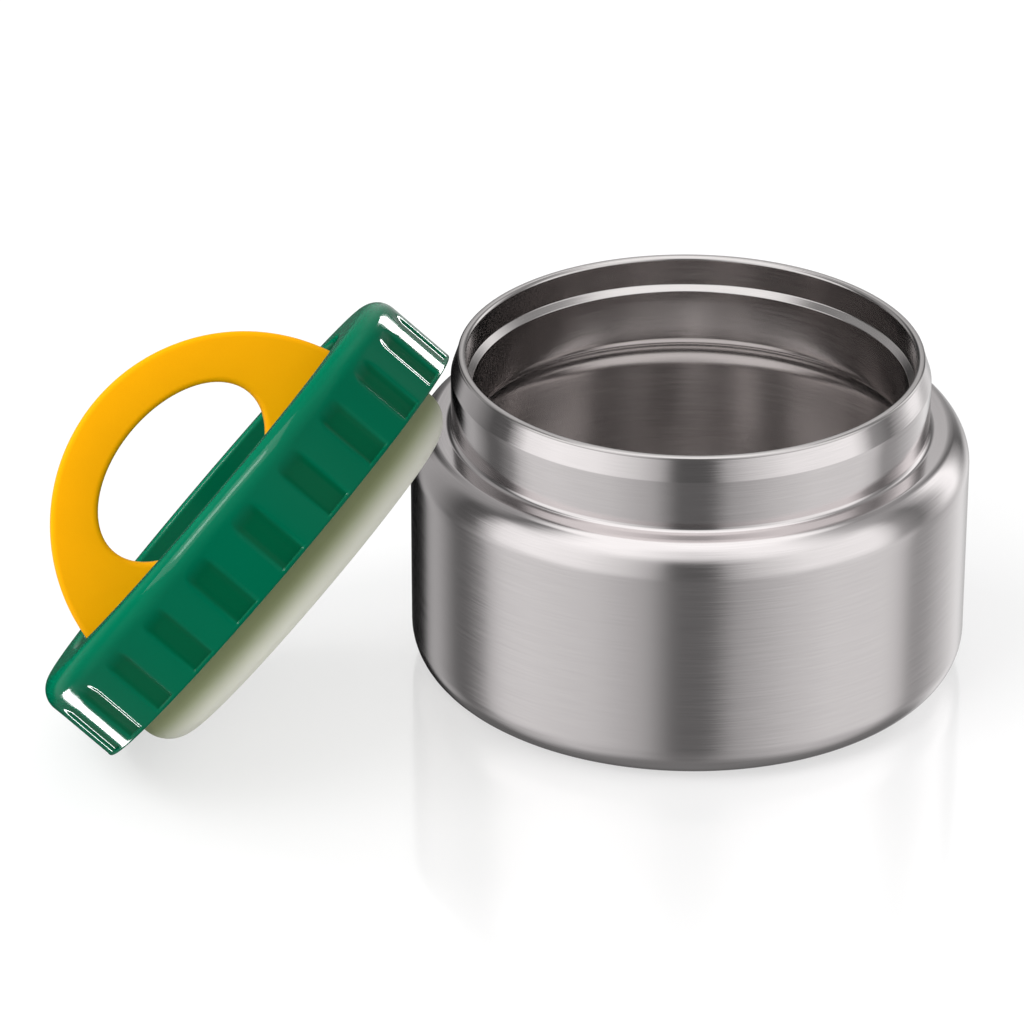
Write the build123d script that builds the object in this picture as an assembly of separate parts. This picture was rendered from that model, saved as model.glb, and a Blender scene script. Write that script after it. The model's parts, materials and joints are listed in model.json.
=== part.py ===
from build123d import *
import math
import os

# Insulated food jar: a double-walled steel jar with a wide mouth, and its push-on lid with a
# folding handle, which leans against the jar's shoulder with one edge on the table.
#
# Millimetres. The origin is the centre of the jar's foot on the table, and +Z runs up the jar.
# The lid is built upright in a frame of its own: the centre of its skirt's lower edge is the
# origin, +Z runs out of its top, and the handle's pivot lies along X. Then it is set down.

# ---------------------------------------------------------------- jar, outside
body_diameter = 110.0
jar_height = 66.0
shell_gauge = 0.6  # sheet of the outer shell
bottom_radius = 8.0  # corner between the body and the foot
foot_lip = 1.0  # flat of the foot inside that corner, out to the weld
shoulder_width = 8.0  # from the body in to the neck
shoulder_drop = 3.0  # fall of the shoulder's slope, from the collar to the body
shoulder_radius = 8.0
collar_width = 4.1  # the flat ring round the neck
collar_edge_radius = 2.5
neck_height = 15.0  # from the collar to the rim
neck_root_radius = 1.0
taper_height = 3.9  # under the lip, where the neck draws in to the rim
taper = 1.3  # how far it draws in

# ---------------------------------------------------------------- jar, inside
vessel_gauge = 0.6
lip_width = 1.7  # from the rim's edge in to the bore
lip_radius = 0.8
lip_edge_radius = 0.4  # outer edge of the lip
ledge_width = 1.3  # the sealing ledge in the mouth
ledge_depth = 6.0  # from the rim to the ledge
ledge_drop = 1.0  # height of the ledge's slope
throat_length = 12.0
throat_radius = 3.0
wall_space = 5.0  # from the body's outside in to the vessel's belly
belly_drop = 3.2  # slope from the throat out to the belly
belly_radius = 8.0
floor_height = 7.0
floor_radius = 9.0

# ---------------------------------------------------------------- base and vacuum space
base_gauge = 0.6
ring_width = 4.0  # flat ring that the jar stands on, inside the weld
recess_slope = 1.0
recess_rise = 2.0
dimple_diameter = 12.0
dimple_rise = 1.2
vent_diameter = 1.8
bead_diameter = 4.2
bead_drop = 0.9
bead_chamfer = 0.5
cover_inset = 1.5  # inside the raised panel's edge
cover_thickness = 0.5
getter_diameter = 10.0
getter_thickness = 1.6
getter_inset = 17.0  # its middle, inside the raised panel's edge
foil_thickness = 0.15
foil_gap = 0.05
foil_length = 26.0
foil_floor_gap = 6.0  # above the underside of the belly's floor

# ---------------------------------------------------------------- lid
cap_height = 18.8
cap_edge_radius = 4.6
skirt_clearance = 0.6  # round the neck
skirt_wall = 2.6
skirt_edge_radius = 0.4  # outer edge
skirt_gap = 0.6  # over the collar, with the lid on
top_thickness = 2.6
flute_count = 24
flute_width = 7.4
flute_floor_width = 5.0
flute_depth = 0.6
flute_top_depth = 5.4  # below the cap's top
flute_run_out = 1.8
flute_run_out_radius = 6.0
flute_bottom_gap = 0.9  # plain edge left under the flutes
tub_clearance = 0.2  # inside the stopper's wall
tub_wall = 1.8
tub_floor = 1.8
recess_side_clearance = 2.0  # round the folded handle
recess_floor_gap = 0.4
recess_edge_radius = 1.0
recess_floor_radius = 1.5

stopper_clearance = 0.5  # in the throat
stopper_wall = 1.2
stopper_floor = 1.5
stopper_drop = 8.6  # below the skirt
stopper_edge_radius = 6.5
stopper_bead_height = 1.2
stopper_bead_clearance = 0.6  # in the bore
foam_gap = 0.2
gasket_height = 1.9
gasket_clearance = 0.15  # in the bore
gasket_ledge_gap = 0.1  # over the ledge, with the lid on
gasket_lip = 0.5

# ---------------------------------------------------------------- handle and its pivot
handle_thickness = 5.5
handle_edge_radius = 1.2
handle_arc_drop = 6.2  # the arc's centre below the pivot
handle_flush_gap = 0.9  # folded handle below the cap's top
grip_half_width = 20.0
grip_half_height = 12.4
grip_rise = 9.55  # the grip opening's centre above the pivot
foot_gap_width = 28.2
toe_radius = 2.5  # where the grip opening runs into the gap between the feet
pin_diameter = 2.4
pin_length = 6.6
pin_chamfer = 0.3
pin_seat_depth = 2.6  # in the boss and the tub's wall
pin_end_gap = 0.3
pin_running_clearance = 0.05
boss_diameter = 5.2
boss_gap = 0.4  # from the boss to the handle's foot
overlap = 0.5  # how far a boss reaches into the wall that carries it

# ---------------------------------------------------------------- where the lid leans
lid_heading = 163.8  # degrees round from +X to where the lid's top faces
lid_lean = 37.8  # degrees that the lid's axis rises above the table
lid_sideways = 55.4  # the lid's centre off the line through the jar's axis on that heading
pivot_turn = 124.4  # degrees round the lid's axis from the level direction to the pivot
lean_gap = 0.2  # between the stopper's edge and the shoulder

# ---------------------------------------------------------------- worked out: jar
body_r = body_diameter / 2
foot_r = body_r - bottom_radius - foot_lip
neck_r = body_r - shoulder_width
collar_r = neck_r + collar_width
rim_r = neck_r - taper
bore_r = rim_r - lip_width
throat_r = bore_r - ledge_width
belly_r = body_r - wall_space
collar_height = jar_height - neck_height
shoulder_height = collar_height - shoulder_drop
lip_underside = jar_height - vessel_gauge
ledge_height = jar_height - ledge_depth
throat_top = ledge_height - ledge_drop
belly_top = throat_top - throat_length - belly_drop
panel_r = foot_r - ring_width - recess_slope
vent_height = recess_rise + dimple_rise
getter_offset = panel_r - getter_inset

# ---------------------------------------------------------------- worked out: lid
skirt_r = neck_r + skirt_clearance
cap_r = skirt_r + skirt_wall
cap_underside = cap_height - top_thickness
stopper_r = throat_r - stopper_clearance
stopper_inner_r = stopper_r - stopper_wall
stopper_inner_floor = stopper_floor - stopper_drop
gasket_bottom = ledge_height - collar_height - skirt_gap + gasket_ledge_gap
gasket_top = gasket_bottom + gasket_height
tub_r = stopper_inner_r - tub_clearance
recess_r = tub_r - tub_wall
pivot_height = cap_height - handle_flush_gap - handle_thickness / 2
handle_swing = (handle_thickness / 2 - handle_edge_radius) * math.sqrt(2) + handle_edge_radius
recess_floor = pivot_height - handle_swing - recess_floor_gap
tub_underside = recess_floor - tub_floor
foot_reach = recess_r - recess_side_clearance
handle_arc_radius = math.hypot(foot_reach, handle_arc_drop - handle_thickness / 2)
boss_face = foot_reach + boss_gap
pin_r = pin_diameter / 2
pin_end = boss_face + pin_seat_depth


def drawn(corners, rounded, close):
    """A line through corners, each its radius, its height and, where it is rounded, the fillet's
    radius. Those that may be rounded are given again, because an open line's ends may not."""
    points = [corner[:2] for corner in corners]
    radii = [corner[2] if len(corner) > 2 else 0 for corner in rounded]
    return FilletPolyline(*points, radius=radii, close=close)


def turned(*corners):
    """The solid that a closed outline makes round Z."""
    return revolve(Plane.XZ * make_face(drawn(corners, corners, close=True)))


def spun_sheet(gauge, side, *corners):
    """A wall of sheet metal spun round Z. The corners are its visible face from one end to the
    other, and the sheet lies on the given side of that path."""
    face_line = Wire(drawn(corners, corners[1:-1], close=False).edges())
    return revolve(Plane.XZ * make_face(face_line.offset_2d(gauge, side=side)))


# ---------------------------------------------------------------- jar


def outer_shell():
    """The visible wall, spun in one piece from under the lip to the inturned foot."""
    return spun_sheet(
        shell_gauge,
        Side.RIGHT,
        (rim_r, lip_underside),
        (neck_r, lip_underside - taper_height),
        (neck_r, collar_height, neck_root_radius),
        (collar_r, collar_height, collar_edge_radius),
        (body_r, shoulder_height, shoulder_radius),
        (body_r, 0, bottom_radius),
        (foot_r, 0),
    )


def inner_vessel():
    """The food vessel, whose rolled lip closes the gap between the two walls."""
    vessel = spun_sheet(
        vessel_gauge,
        Side.LEFT,
        (rim_r, jar_height),
        (bore_r, jar_height, lip_radius),
        (bore_r, ledge_height),
        (throat_r, throat_top),
        (throat_r, belly_top + belly_drop, throat_radius),
        (belly_r, belly_top, belly_radius),
        (belly_r, floor_height, floor_radius),
        (0, floor_height),
    )
    top_circles = vessel.edges().filter_by(GeomType.CIRCLE).group_by(Axis.Z)[-1]
    return fillet(top_circles.sort_by(SortBy.RADIUS)[-1], lip_edge_radius)


def shell_base():
    """The pressed disc that closes the shell: a ring to stand on, and a raised middle with the
    dimple through which the space between the walls is emptied."""
    dimple_r = dimple_diameter / 2
    return spun_sheet(
        base_gauge,
        Side.RIGHT,
        (foot_r, 0),
        (foot_r - ring_width, 0),
        (panel_r, recess_rise),
        (dimple_r, recess_rise),
        (dimple_r - dimple_rise, vent_height),
        (vent_diameter / 2, vent_height),
    )


def seal_bead():
    """The bead of solder that closes the vent from below."""
    vent_r = vent_diameter / 2
    bead_r = bead_diameter / 2
    return turned(
        (0, vent_height - bead_drop),
        (bead_r - bead_chamfer, vent_height - bead_drop),
        (bead_r, vent_height - bead_drop + bead_chamfer),
        (bead_r, vent_height),
        (vent_r, vent_height),
        (vent_r, vent_height + base_gauge),
        (0, vent_height + base_gauge),
    )


def base_cover():
    """The thin disc under the raised middle, which hides the bead."""
    disc = Cylinder(
        panel_r - cover_inset, cover_thickness, align=(Align.CENTER, Align.CENTER, Align.MAX)
    )
    return Pos(0, 0, recess_rise) * disc


def getter():
    """The gas-absorbing pellet on the base, in the vacuum."""
    pellet = Cylinder(
        getter_diameter / 2, getter_thickness, align=(Align.CENTER, Align.CENTER, Align.MIN)
    )
    return Pos(getter_offset, 0, recess_rise + base_gauge) * pellet


def radiation_foil():
    """The foil wrapped round the vessel's belly, against radiated heat."""
    inner = belly_r + vessel_gauge + foil_gap
    bottom = floor_height + foil_floor_gap
    return turned(
        (inner, bottom),
        (inner + foil_thickness, bottom),
        (inner + foil_thickness, bottom + foil_length),
        (inner, bottom + foil_length),
    )


# ---------------------------------------------------------------- lid, upright in its own frame


def flute():
    """What one finger flute takes from the skirt: slanted sides, and a floor that runs out
    softly at its top."""
    floor_r = cap_r - flute_depth
    top = cap_height - flute_top_depth
    band = turned(
        (floor_r, flute_bottom_gap),
        (floor_r, top - flute_run_out, flute_run_out_radius),
        (cap_r + flute_depth, top + flute_run_out),
        (cap_r + flute_depth, flute_bottom_gap - flute_depth),
    )
    side_slope = (flute_width - flute_floor_width) / 2
    plan = Polyline(
        (floor_r - flute_depth, flute_floor_width / 2 - side_slope),
        (cap_r + flute_depth, flute_width / 2 + side_slope),
        (cap_r + flute_depth, -flute_width / 2 - side_slope),
        (floor_r - flute_depth, side_slope - flute_floor_width / 2),
        close=True,
    )
    return band & extrude(make_face(plan), cap_height)


def cap():
    """The moulded cap: fluted skirt, flat top, and the tub that the handle folds into."""
    body = turned(
        (0, recess_floor),
        (recess_r, recess_floor, recess_floor_radius),
        (recess_r, cap_height, recess_edge_radius),
        (cap_r, cap_height, cap_edge_radius),
        (cap_r, 0, skirt_edge_radius),
        (skirt_r, 0),
        (skirt_r, cap_underside),
        (tub_r, cap_underside),
        (tub_r, tub_underside),
        (0, tub_underside),
    )
    one_flute = flute()
    body -= [turn * one_flute for turn in PolarLocations(0, flute_count)]
    for side in (-1, 1):
        along = Pos(0, 0, pivot_height) * Rot(0, 90 * side, 0)
        reach = recess_r + overlap - boss_face
        boss = Cylinder(boss_diameter / 2, reach, align=(Align.CENTER, Align.CENTER, Align.MIN))
        hole = Cylinder(pin_r, pin_seat_depth, align=(Align.CENTER, Align.CENTER, Align.MIN))
        body += along * Pos(0, 0, boss_face) * boss
        body -= along * Pos(0, 0, boss_face) * hole
    return body


def stopper():
    """The cup under the cap, which plugs the mouth. Its bead holds the gasket from above."""
    bead_r = bore_r - stopper_bead_clearance
    return turned(
        (0, -stopper_drop),
        (stopper_r, -stopper_drop, stopper_edge_radius),
        (stopper_r, gasket_top),
        (bead_r, gasket_top),
        (bead_r, gasket_top + stopper_bead_height),
        (stopper_r, gasket_top + stopper_bead_height),
        (stopper_r, cap_underside),
        (stopper_inner_r, cap_underside),
        (stopper_inner_r, stopper_inner_floor, stopper_edge_radius - stopper_wall),
        (0, stopper_inner_floor),
    )


def stopper_gasket():
    """The silicone ring that seals on the ledge in the mouth, with a lip against the bore."""
    lip_r = bore_r - gasket_clearance
    return turned(
        (stopper_r, gasket_bottom),
        (lip_r - gasket_lip, gasket_bottom),
        (lip_r, gasket_bottom + gasket_lip),
        (lip_r - gasket_lip, gasket_top),
        (stopper_r, gasket_top),
    )


def stopper_foam():
    """The foam puck that insulates the stopper."""
    radius = stopper_inner_r - foam_gap
    return turned(
        (0, stopper_inner_floor),
        (radius, stopper_inner_floor, stopper_edge_radius - stopper_wall),
        (radius, tub_underside),
        (0, tub_underside),
    )


def handle():
    """The arched handle, upright: a slice of a disc with an oval grip, on two broad feet."""
    foot = pivot_height - handle_thickness / 2
    arc_height = pivot_height - handle_arc_drop
    grip_height = pivot_height + grip_rise
    gap_top = pivot_height + handle_thickness / 2
    disc = Pos(0, arc_height) * Circle(handle_arc_radius)
    above_foot = Pos(0, foot) * Rectangle(
        2 * handle_arc_radius, 2 * handle_arc_radius, align=(Align.CENTER, Align.MIN)
    )
    grip = Pos(0, grip_height) * Ellipse(grip_half_width, grip_half_height)
    foot_gap = Pos(0, foot) * Rectangle(
        foot_gap_width, gap_top - foot, align=(Align.CENTER, Align.MIN)
    )
    outline = (disc & above_foot) - grip - foot_gap
    toes = outline.vertices().group_by(Axis.Y)[1]
    outline = fillet(toes, toe_radius)
    body = extrude(Plane.XZ * outline, handle_thickness / 2, both=True)
    rims = body.edges().filter_by(Axis.Y, reverse=True)
    body = fillet(rims, handle_edge_radius)
    hole_length = pin_length - pin_seat_depth - boss_gap + pin_end_gap
    for side in (-1, 1):
        hole = Cylinder(
            pin_r + pin_running_clearance,
            hole_length + boss_gap,
            align=(Align.CENTER, Align.CENTER, Align.MAX),
        )
        body -= Pos(side * boss_face, 0, pivot_height) * Rot(0, 90 * side, 0) * hole
    return body


def pivot_pin(side):
    """A steel pin, pressed into the cap's boss, on which a foot of the handle turns."""
    pin = Cylinder(pin_r, pin_length, align=(Align.CENTER, Align.CENTER, Align.MAX))
    pin = chamfer(pin.edges(), pin_chamfer)
    return Pos(side * pin_end, 0, pivot_height) * Rot(0, 90 * side, 0) * pin


# ---------------------------------------------------------------- setting the lid down


def lid_frame(standoff):
    """The lid's frame, with its skirt's edge on the table and its centre that far out from the
    jar along the heading."""
    heading = math.radians(lid_heading)
    lean = math.radians(lid_lean)
    ahead = Vector(math.cos(heading), math.sin(heading), 0)
    level = Vector(-math.sin(heading), math.cos(heading), 0)
    axis = ahead * math.cos(lean) + Vector(0, 0, math.sin(lean))
    height = (cap_r - skirt_edge_radius) * math.cos(lean) + skirt_edge_radius * (1 - math.sin(lean))
    centre = ahead * standoff + level * lid_sideways + Vector(0, 0, height)
    unturned = Plane(origin=centre, x_dir=level, z_dir=axis)
    return Plane(unturned.location * Rot(0, 0, pivot_turn))


def shoulder_gap(standoff):
    """Least distance from the stopper's rounded edge to the shoulder's, each of which is a ring
    of its own radius round a circle."""
    slope = math.atan2(body_r - collar_r, collar_height - shoulder_height)
    ring_r = body_r - shoulder_radius
    ring_height = shoulder_height - shoulder_radius * math.tan(slope / 2)
    frame = lid_frame(standoff)
    edge_r = stopper_r - stopper_edge_radius
    nearest = math.inf
    for step in range(1440):
        angle = math.tau * step / 1440
        local = (edge_r * math.cos(angle), edge_r * math.sin(angle), stopper_edge_radius - stopper_drop)
        point = frame.from_local_coords(Vector(*local))
        out = math.hypot(point.X, point.Y) - ring_r
        nearest = min(nearest, math.hypot(out, point.Z - ring_height))
    return nearest - shoulder_radius - stopper_edge_radius


def leaning_frame():
    """The lid's frame where its stopper all but touches the jar's shoulder."""
    near, far = 0.0, 2 * body_diameter
    for _ in range(30):
        middle = (near + far) / 2
        if shoulder_gap(middle) < lean_gap:
            near = middle
        else:
            far = middle
    return lid_frame(far)


jar_parts = {
    "outer_shell": outer_shell(),
    "inner_vessel": inner_vessel(),
    "shell_base": shell_base(),
    "base_cover": base_cover(),
    "seal_bead": seal_bead(),
    "getter": getter(),
    "radiation_foil": radiation_foil(),
}
lid_parts = {
    "cap": cap(),
    "stopper": stopper(),
    "stopper_gasket": stopper_gasket(),
    "stopper_foam": stopper_foam(),
    "handle": handle(),
    "pivot_pin_left": pivot_pin(-1),
    "pivot_pin_right": pivot_pin(1),
}

leaning = leaning_frame()
print("handle pivot", leaning.from_local_coords(Vector(0, 0, pivot_height)), "along", leaning.x_dir)

os.makedirs("parts", exist_ok=True)
for name, part in jar_parts.items():
    export_step(part, f"parts/{name}.step")
for name, part in lid_parts.items():
    export_step(leaning.location * part, f"parts/{name}.step")
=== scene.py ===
"""An insulated food jar, and its carry-handle lid set down beside it, dressed for a studio."""

import json
import logging
import math
from collections.abc import Iterable, Sequence
from dataclasses import dataclass, field
from enum import Enum
from typing import Any

import bmesh
import bpy
from bmesh.types import BMesh, BMEdge, BMVert
from mathutils import Matrix, Vector


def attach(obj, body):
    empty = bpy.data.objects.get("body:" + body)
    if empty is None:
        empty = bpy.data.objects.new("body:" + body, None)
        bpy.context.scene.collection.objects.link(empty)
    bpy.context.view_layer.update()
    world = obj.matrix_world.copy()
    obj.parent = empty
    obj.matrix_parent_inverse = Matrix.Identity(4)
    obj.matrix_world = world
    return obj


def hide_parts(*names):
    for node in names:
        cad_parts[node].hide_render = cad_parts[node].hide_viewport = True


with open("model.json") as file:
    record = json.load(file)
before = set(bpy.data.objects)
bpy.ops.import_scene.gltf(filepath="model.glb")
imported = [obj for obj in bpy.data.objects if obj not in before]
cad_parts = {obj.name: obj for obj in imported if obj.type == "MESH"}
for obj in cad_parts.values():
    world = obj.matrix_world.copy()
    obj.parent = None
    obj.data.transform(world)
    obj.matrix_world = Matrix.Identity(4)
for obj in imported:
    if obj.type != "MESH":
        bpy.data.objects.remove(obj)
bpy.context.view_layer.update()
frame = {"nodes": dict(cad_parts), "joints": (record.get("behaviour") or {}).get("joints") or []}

log = logging.getLogger("food_jar")

MM = 0.001
TURN_STEPS = 192  # facets round a turned piece
ARC_STEP = math.radians(7)  # turn of one facet of a rounded corner
LONGEST_EDGE = 2.5  # mm, along a turned piece's outline
CREASE = math.radians(28)  # a sharper edge than this is shaded as an edge
WELD = 5e-6  # m, between points that are one
SHARP = math.radians(60)  # a sharper edge than this gets rounded on the handle
NOISE_RANGE = {1: 0.3, 2: 0.7}  # between these lie most greys of a noise, as Map Range takes them
PAINTED_SHADE = "painted_shade"  # the mesh attribute that blends in a plastic's painted shade colour


class Body(Enum):
    """The bodies that move by themselves."""

    JAR = "jar"
    LID = "lid"
    HANDLE = "handle"


# ---------------------------------------------------------------- objects


def add_object(name: str, data: bpy.types.ID) -> bpy.types.Object:
    """Adds an object that shows a mesh, a lamp or a camera to the scene."""
    added = bpy.data.objects.new(name, data)
    bpy.context.scene.collection.objects.link(added)
    return added


def add_mesh(name: str, mesh: BMesh) -> bpy.types.Object:
    """Adds an object in the shape of a mesh, which this call uses up, to the scene."""
    data = bpy.data.meshes.new(name)
    mesh.to_mesh(data)
    mesh.free()
    return add_object(name, data)


# ---------------------------------------------------------------- node trees


def linear(hex_colour: str) -> tuple[float, float, float, float]:
    """Turns an sRGB colour to the linear one that a shader takes.

    Args:
        hex_colour: the colour as "#RRGGBB".

    Returns:
        Red, green and blue, linear, with an alpha of 1.
    """
    channels = [int(hex_colour[i : i + 2], 16) / 255 for i in (1, 3, 5)]
    red, green, blue = (c / 12.92 if c <= 0.04045 else ((c + 0.055) / 1.055) ** 2.4 for c in channels)
    return red, green, blue, 1.0


def grey(level: float) -> tuple[float, float, float, float]:
    """Gives the colour of a grey, from its linear level."""
    return level, level, level, 1.0


def add_node(
    tree: bpy.types.NodeTree, kind: str, inputs: dict[Any, Any] | None = None, **settings: Any
) -> bpy.types.Node:
    """Adds one node with its settings, values and links.

    Args:
        tree: the node tree to add it to.
        kind: the node's type less its "ShaderNode", such as "Bump".
        inputs: for an input's name or number, a value, the output socket that feeds it, or the
            node whose first output feeds it.
        settings: the node's own properties.

    Returns:
        The new node.
    """
    node = tree.nodes.new("ShaderNode" + kind)
    for name, value in settings.items():
        setattr(node, name, value)
    for key, value in (inputs or {}).items():
        source = value.outputs[0] if isinstance(value, bpy.types.Node) else value
        if isinstance(source, bpy.types.NodeSocket):
            tree.links.new(source, node.inputs[key])
        else:
            node.inputs[key].default_value = value
    return node


def set_ramp(node: bpy.types.Node, stops: Sequence[tuple[float, float]]) -> None:
    """Writes the stops of a ramp of greys.

    Args:
        node: the ramp.
        stops: for each stop its place from 0 to 1, and its grey.
    """
    ramp = node.color_ramp
    while len(ramp.elements) > 1:
        ramp.elements.remove(ramp.elements[-1])
    for index, (place, level) in enumerate(stops):
        element = ramp.elements[0] if index == 0 else ramp.elements.new(place)
        element.position = place
        element.color = grey(level)


# ---------------------------------------------------------------- finishes


@dataclass(frozen=True)
class Finish:
    """A finish of one material, with the parts that most finishes share.

    Attributes:
        name: the material's name.
        colour: its own colour in sRGB.
        roughness: how matt it is.
    """

    name: str
    colour: str
    roughness: float

    def start(self) -> tuple[bpy.types.Material, bpy.types.NodeTree, bpy.types.Node]:
        """Makes the material with a plain shader in this finish's colour."""
        material = bpy.data.materials.new(self.name)
        material.use_nodes = True
        tree = material.node_tree
        shader = tree.nodes["Principled BSDF"]
        shader.inputs["Base Color"].default_value = linear(self.colour)
        shader.inputs["Roughness"].default_value = self.roughness
        material.diffuse_color = linear(self.colour)
        return material, tree, shader


@dataclass(frozen=True)
class BrushedSteel(Finish):
    """Stainless sheet, turned against a belt: hair-fine scratches run round the piece. They draw
    what it mirrors out into upright bands, fray the bands' edges and give it its silky grain."""

    grain: float = 0.13  # mm between scratches, as coarse as it needs to be to show
    scratch: float = 9.0  # mm, the length of one scratch
    turned_radius: float = 50.0  # mm from the axis, where it has that length
    streak: float = 0.035  # change of brightness from scratch to scratch
    rub: float = 0.15  # change of roughness from scratch to scratch
    wander: float = 0.009  # how far a scratch's mirror leans round the piece, in radians
    depth: float = 0.002  # mm
    stretch: float = 0.4
    polish: float = 1.0  # share of the roughness that is left above the polish line
    polish_line: float = 46.0  # mm up
    polish_fade: float = 3.0  # mm

    def scratches(
        self, tree: bpy.types.NodeTree, turned: bpy.types.Node, height: bpy.types.NodeSocket
    ) -> bpy.types.Node:
        """Adds the noise that the scratches follow.

        Args:
            tree: the material's nodes.
            turned: the place, level with the axis.
            height: the height.

        Returns:
            A grey from 0 to 1 that changes quickly across the scratches and slowly along them.
        """
        heading = add_node(tree, "VectorMath", {0: turned}, operation="NORMALIZE")
        radius = add_node(tree, "VectorMath", {0: turned}, operation="LENGTH").outputs["Value"]
        turns = self.turned_radius / self.scratch
        along = add_node(tree, "VectorMath", {0: heading, "Scale": turns}, operation="SCALE")
        per_scratch = 1 / (self.grain * MM)
        up = add_node(tree, "Math", {0: height, 1: per_scratch}, operation="MULTIPLY")
        across = add_node(tree, "Math", {0: radius, 1: per_scratch}, operation="MULTIPLY")
        lift = add_node(tree, "CombineXYZ", {2: up})
        where = add_node(tree, "VectorMath", {0: along, 1: lift}, operation="ADD")
        noise = {"Vector": where, "W": across, "Scale": 1.0, "Detail": 1.5}
        return add_node(tree, "TexNoise", noise, noise_dimensions="4D")

    def rubbed(
        self, tree: bpy.types.NodeTree, scratches: bpy.types.Node, height: bpy.types.NodeSocket
    ) -> bpy.types.Node:
        """Adds the roughness, which changes from scratch to scratch and at the polish line.

        Args:
            tree: the material's nodes.
            scratches: their grey.
            height: the height.

        Returns:
            The roughness.
        """
        finest, coarsest = self.roughness * (1 - self.rub), self.roughness * (1 + self.rub)
        belted = add_node(tree, "MapRange", {0: scratches, **NOISE_RANGE, 3: finest, 4: coarsest})
        start, end = self.polish_line * MM, (self.polish_line + self.polish_fade) * MM
        polished = add_node(tree, "MapRange", {0: height, 1: start, 2: end, 3: 1.0, 4: self.polish})
        return add_node(tree, "Math", {0: belted, 1: polished}, operation="MULTIPLY")

    def frayed(
        self, tree: bpy.types.NodeTree, scratches: bpy.types.Node, tangent: bpy.types.Node
    ) -> bpy.types.Node:
        """Adds the normal, which the scratches dent and lean to the side.

        Args:
            tree: the material's nodes.
            scratches: their grey.
            tangent: the direction round the piece.

        Returns:
            The normal.
        """
        dent = {"Height": scratches, "Strength": 0.5, "Distance": self.depth * MM}
        bump = add_node(tree, "Bump", dent)
        leans = {0: scratches, **NOISE_RANGE, 3: -self.wander, 4: self.wander}
        lean = add_node(tree, "MapRange", leans)
        aside = add_node(tree, "VectorMath", {0: tangent, "Scale": lean}, operation="SCALE")
        return add_node(tree, "VectorMath", {0: bump, 1: aside}, operation="ADD")

    def material(self) -> bpy.types.Material:
        """Builds the finish."""
        material, tree, shader = self.start()
        place = add_node(tree, "TexCoord").outputs["Object"]
        across, away, height = add_node(tree, "SeparateXYZ", {0: place}).outputs
        turned = add_node(tree, "CombineXYZ", {0: across, 1: away})
        scratches = self.scratches(tree, turned, height)
        tones = {0: scratches, **NOISE_RANGE, 3: 1 - self.streak, 4: 1 + self.streak}
        tone = add_node(tree, "MapRange", tones)
        own = linear(self.colour)[:3]
        round_it = add_node(tree, "VectorMath", {0: (0, 0, 1), 1: turned}, operation="CROSS_PRODUCT")
        tangent = add_node(tree, "VectorMath", {0: round_it}, operation="NORMALIZE")
        for name, node in (
            ("Base Color", add_node(tree, "VectorMath", {0: own, "Scale": tone}, operation="SCALE")),
            ("Roughness", self.rubbed(tree, scratches, height)),
            ("Normal", self.frayed(tree, scratches, tangent)),
            ("Tangent", tangent),
        ):
            tree.links.new(node.outputs[0], shader.inputs[name])
        shader.inputs["Metallic"].default_value = 1.0
        shader.inputs["Anisotropic"].default_value = self.stretch
        shader.inputs["Anisotropic Rotation"].default_value = 0.25  # a quarter turn, across them
        return material


@dataclass(frozen=True)
class MouldedPlastic(Finish):
    """Injection-moulded polypropylene: an even colour with a faint ripple from the mould, and a painted
    shade colour blended in where the mesh says.
    """

    gloss: float = 0.15  # specular level
    index: float = 1.49  # of refraction, polypropylene's
    ripple: float = 1.2  # mm from crest to crest
    ripple_depth: float = 0.004  # mm
    mottle: float = 0.03  # change of brightness over the piece
    mottle_size: float = 18.0  # mm
    shine_through: float = 0.0  # how far light spreads inside it
    spread: float = 2.0  # mm
    painted_shade_colour: str | None = None  # painted shade colour, blended in where the mesh's painted-shade attribute says

    def material(self) -> bpy.types.Material:
        """Builds the finish."""
        material, tree, shader = self.start()
        place = add_node(tree, "TexCoord").outputs["Object"]
        noise = {"Vector": place, "Scale": 1 / (self.mottle_size * MM), "Detail": 2.0}
        mottle = add_node(tree, "TexNoise", noise)
        tones = {0: mottle, **NOISE_RANGE, 3: 1 - self.mottle, 4: 1 + self.mottle}
        tone = add_node(tree, "MapRange", tones)
        own: Any = linear(self.colour)[:3]
        if self.painted_shade_colour:
            # blends in the painted shade colour where the mesh's attribute says
            share = add_node(tree, "Attribute", attribute_name=PAINTED_SHADE, attribute_type="GEOMETRY")
            colours = {6: linear(self.colour), 7: linear(self.painted_shade_colour)}
            blend = add_node(tree, "Mix", {0: share.outputs["Fac"], **colours}, data_type="RGBA")
            own = blend.outputs[2]
        colour = add_node(tree, "VectorMath", {0: own, "Scale": tone}, operation="SCALE")
        noise = {"Vector": place, "Scale": 1 / (self.ripple * MM), "Detail": 1.0}
        ripple = add_node(tree, "TexNoise", noise)
        dent = {"Height": ripple, "Strength": 0.4, "Distance": self.ripple_depth * MM}
        bump = add_node(tree, "Bump", dent)
        tree.links.new(colour.outputs[0], shader.inputs["Base Color"])
        tree.links.new(bump.outputs[0], shader.inputs["Normal"])
        shader.inputs["IOR"].default_value = self.index
        shader.inputs["Specular IOR Level"].default_value = self.gloss
        if self.shine_through:
            shader.inputs["Subsurface Weight"].default_value = self.shine_through
            shader.inputs["Subsurface Radius"].default_value = (1.0, 1.0, 0.8)  # blue goes least far
            shader.inputs["Subsurface Scale"].default_value = self.spread * MM
        return material


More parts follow.
